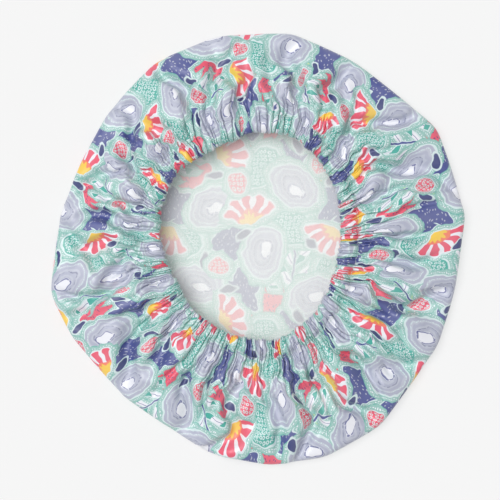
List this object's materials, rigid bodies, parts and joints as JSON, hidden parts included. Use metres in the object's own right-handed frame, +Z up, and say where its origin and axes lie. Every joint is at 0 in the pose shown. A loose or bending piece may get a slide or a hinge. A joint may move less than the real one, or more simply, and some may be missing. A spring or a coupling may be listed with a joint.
{
  "type": "shower cap",
  "caption": "Round elasticated shower cap: a printed cloth disc with a waterproof film lining, its hem gathered on an elastic round the mouth.",
  "frame": {"origin": "on the floor under the middle of the cap's outline; the cap lies on its crown", "axes": "+Z up, out of the mouth; +X and +Y to the right and to the top of the picture, which looks straight down"},
  "size_m": [0.292, 0.305, 0.0252],
  "materials": {
    "printed_cloth": "matt woven cotton blend, printed on one face",
    "lining_film": "frosted translucent film",
    "elastic": "braided elastic, white",
    "sewing_thread": "spun polyester thread"
  },
  "bodies": {
    "root": {"outer_shell": "printed_cloth", "liner": "lining_film", "elastic_band": "elastic", "elastic_lap_stitching": "sewing_thread", "hem_needle_thread": "sewing_thread", "hem_bobbin_thread": "sewing_thread"}
  },
  "joints": []
}
